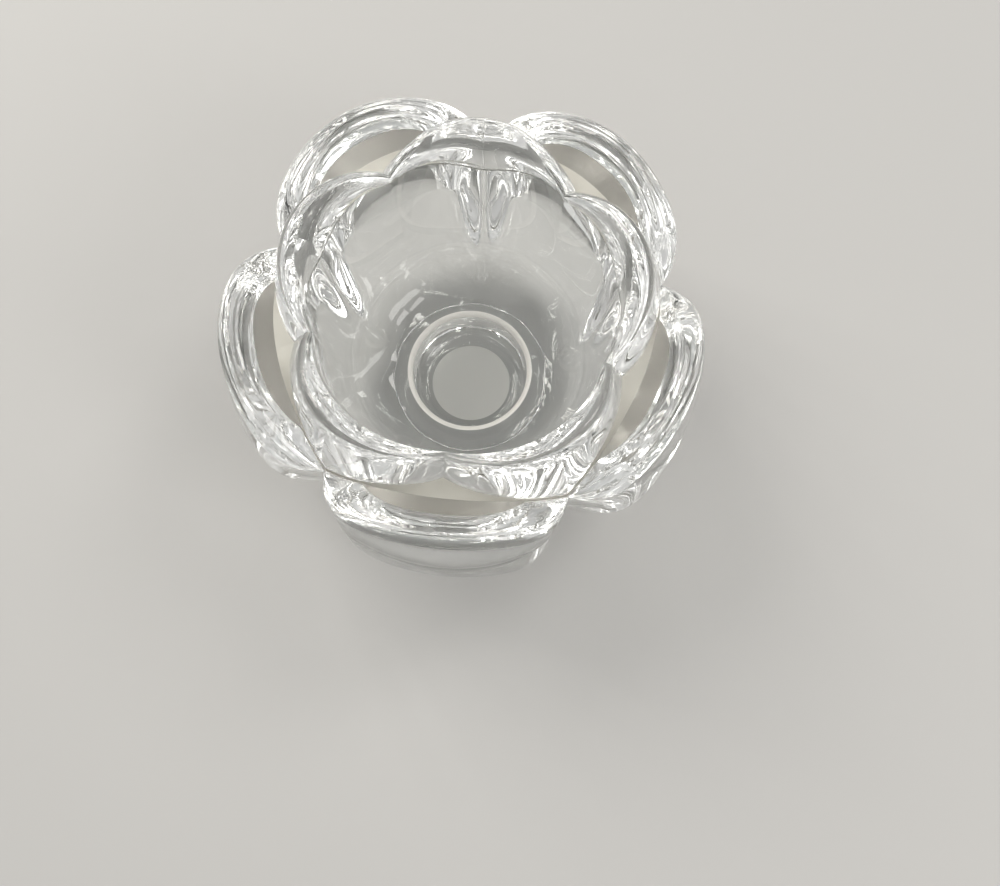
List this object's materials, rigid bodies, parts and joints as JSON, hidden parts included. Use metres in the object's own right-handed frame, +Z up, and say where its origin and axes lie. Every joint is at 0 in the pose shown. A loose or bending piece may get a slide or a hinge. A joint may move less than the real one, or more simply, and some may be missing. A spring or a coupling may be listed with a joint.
{
  "type": "flower-shaped glass holder",
  "caption": "Clear crystal holder shaped like an open flower: a lobed inner cup with a round well in its floor, set in a thick bowl of overlapping outer petals.",
  "frame": {"origin": "centre of the flat foot, on the surface that the holder stands on", "axes": "+Z up along the flower's axis; -Y towards the middle of one outer petal"},
  "size_m": [0.15, 0.147, 0.102],
  "materials": {
    "crystal": "clear, fire-polished"
  },
  "bodies": {
    "root": {"outer_petal_bowl": "crystal", "inner_petal_cup": "crystal"}
  },
  "joints": []
}
